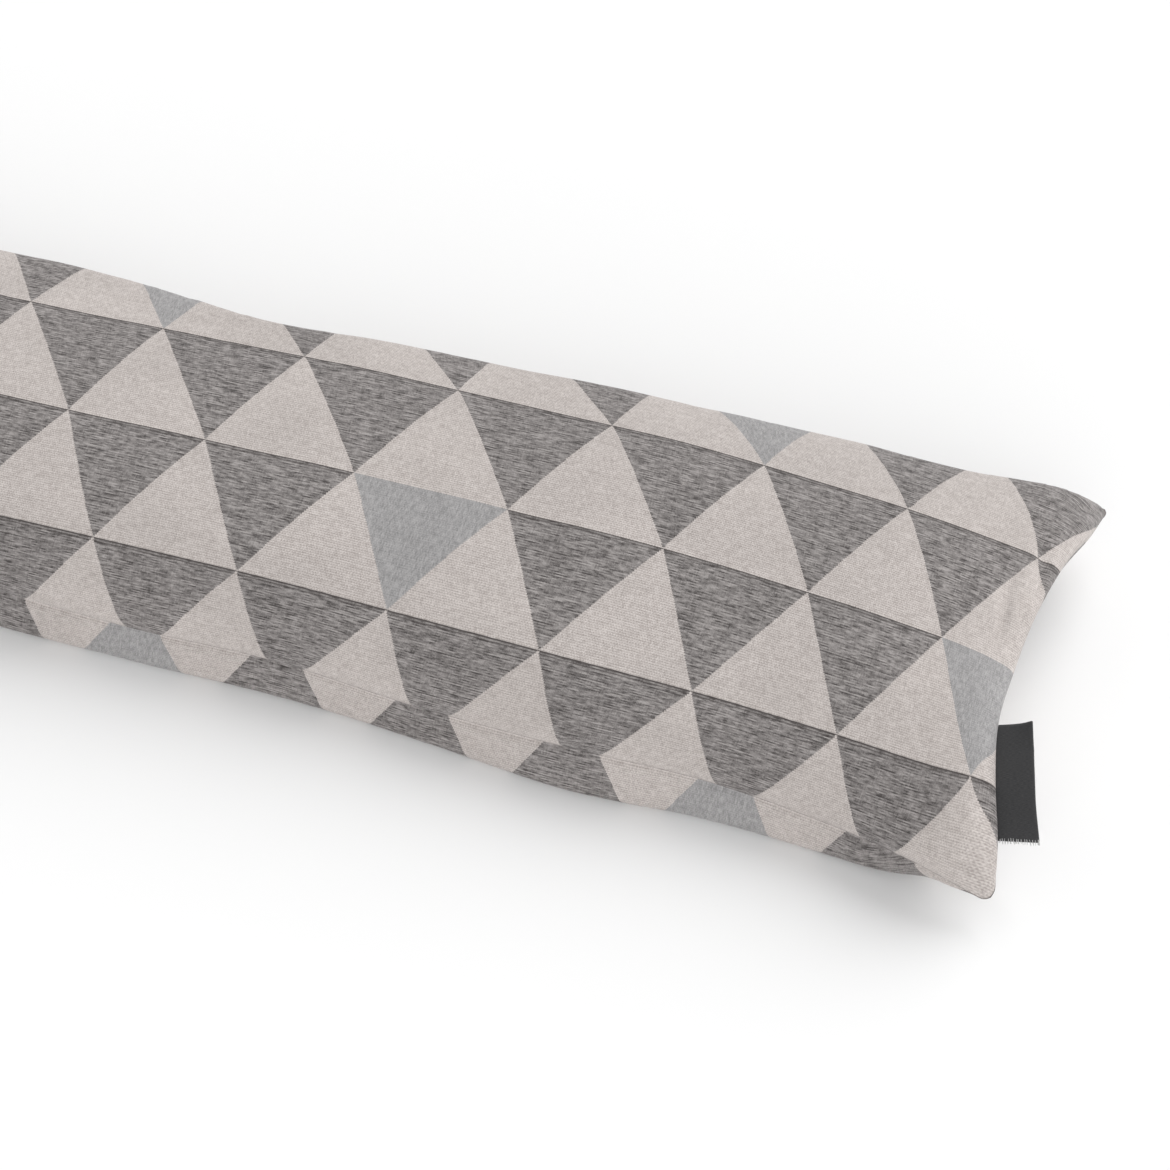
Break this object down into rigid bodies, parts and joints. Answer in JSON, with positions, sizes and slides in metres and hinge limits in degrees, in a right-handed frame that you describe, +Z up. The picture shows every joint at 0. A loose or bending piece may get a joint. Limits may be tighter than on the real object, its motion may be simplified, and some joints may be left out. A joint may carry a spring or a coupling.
{
  "type": "draught excluder",
  "caption": "Long, softly filled cloth cushion with crowned top, flat underside, drawn-in sewn sides and ends, and a small blank folded label in one end seam.",
  "frame": {"origin": "middle of the footprint, on the floor", "axes": "+X along the cushion towards the end with the label, +Y to the back, +Z up"},
  "size_m": [0.9158, 0.1926, 0.0644],
  "materials": {
    "cover": "matt jacquard weave of beige, dark grey and blue-grey triangles",
    "label_tape": "dark woven satin tape"
  },
  "bodies": {
    "root": {"cushion": "cover", "label": "label_tape"}
  },
  "joints": []
}
